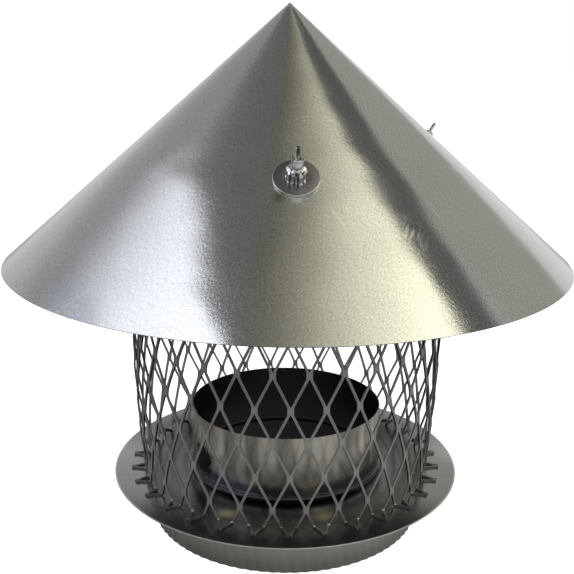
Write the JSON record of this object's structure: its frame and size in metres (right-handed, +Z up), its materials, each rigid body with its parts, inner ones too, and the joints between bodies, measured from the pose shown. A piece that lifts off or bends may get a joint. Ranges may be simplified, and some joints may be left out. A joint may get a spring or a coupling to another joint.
{
  "type": "chimney cap",
  "caption": "Round chimney cap: a wide sheet cone over a ring of expanded-metal mesh, on a flanged base with an inner throat and a crimped outer skirt.",
  "frame": {"origin": "centre of the ring on which the outer skirt stands, on the common axis", "axes": "+Z up the common axis to the cone's tip, -Y towards the front, where one cone fixing is"},
  "size_m": [0.424, 0.424, 0.3986],
  "materials": {
    "cone_steel": "satin mill finish with fine scratches",
    "mesh_steel": "dull sheared strands",
    "flange_steel": "bright, nearly mirror",
    "throat_steel": "bright outside, dark inside",
    "skirt_steel": "satin, crimped by machine",
    "fixing_steel": "bright plated"
  },
  "bodies": {
    "root": {"rain_cone": "cone_steel", "spark_mesh": "mesh_steel", "base_flange": "flange_steel", "throat": "throat_steel", "outer_skirt": "skirt_steel", "outer_washer_1": "fixing_steel", "inner_washer_1": "fixing_steel", "sleeve_nut_1": "fixing_steel", "fixing_screw_1": "fixing_steel", "outer_washer_2": "fixing_steel", "inner_washer_2": "fixing_steel", "sleeve_nut_2": "fixing_steel", "fixing_screw_2": "fixing_steel", "outer_washer_3": "fixing_steel", "inner_washer_3": "fixing_steel", "sleeve_nut_3": "fixing_steel", "fixing_screw_3": "fixing_steel"}
  },
  "joints": []
}
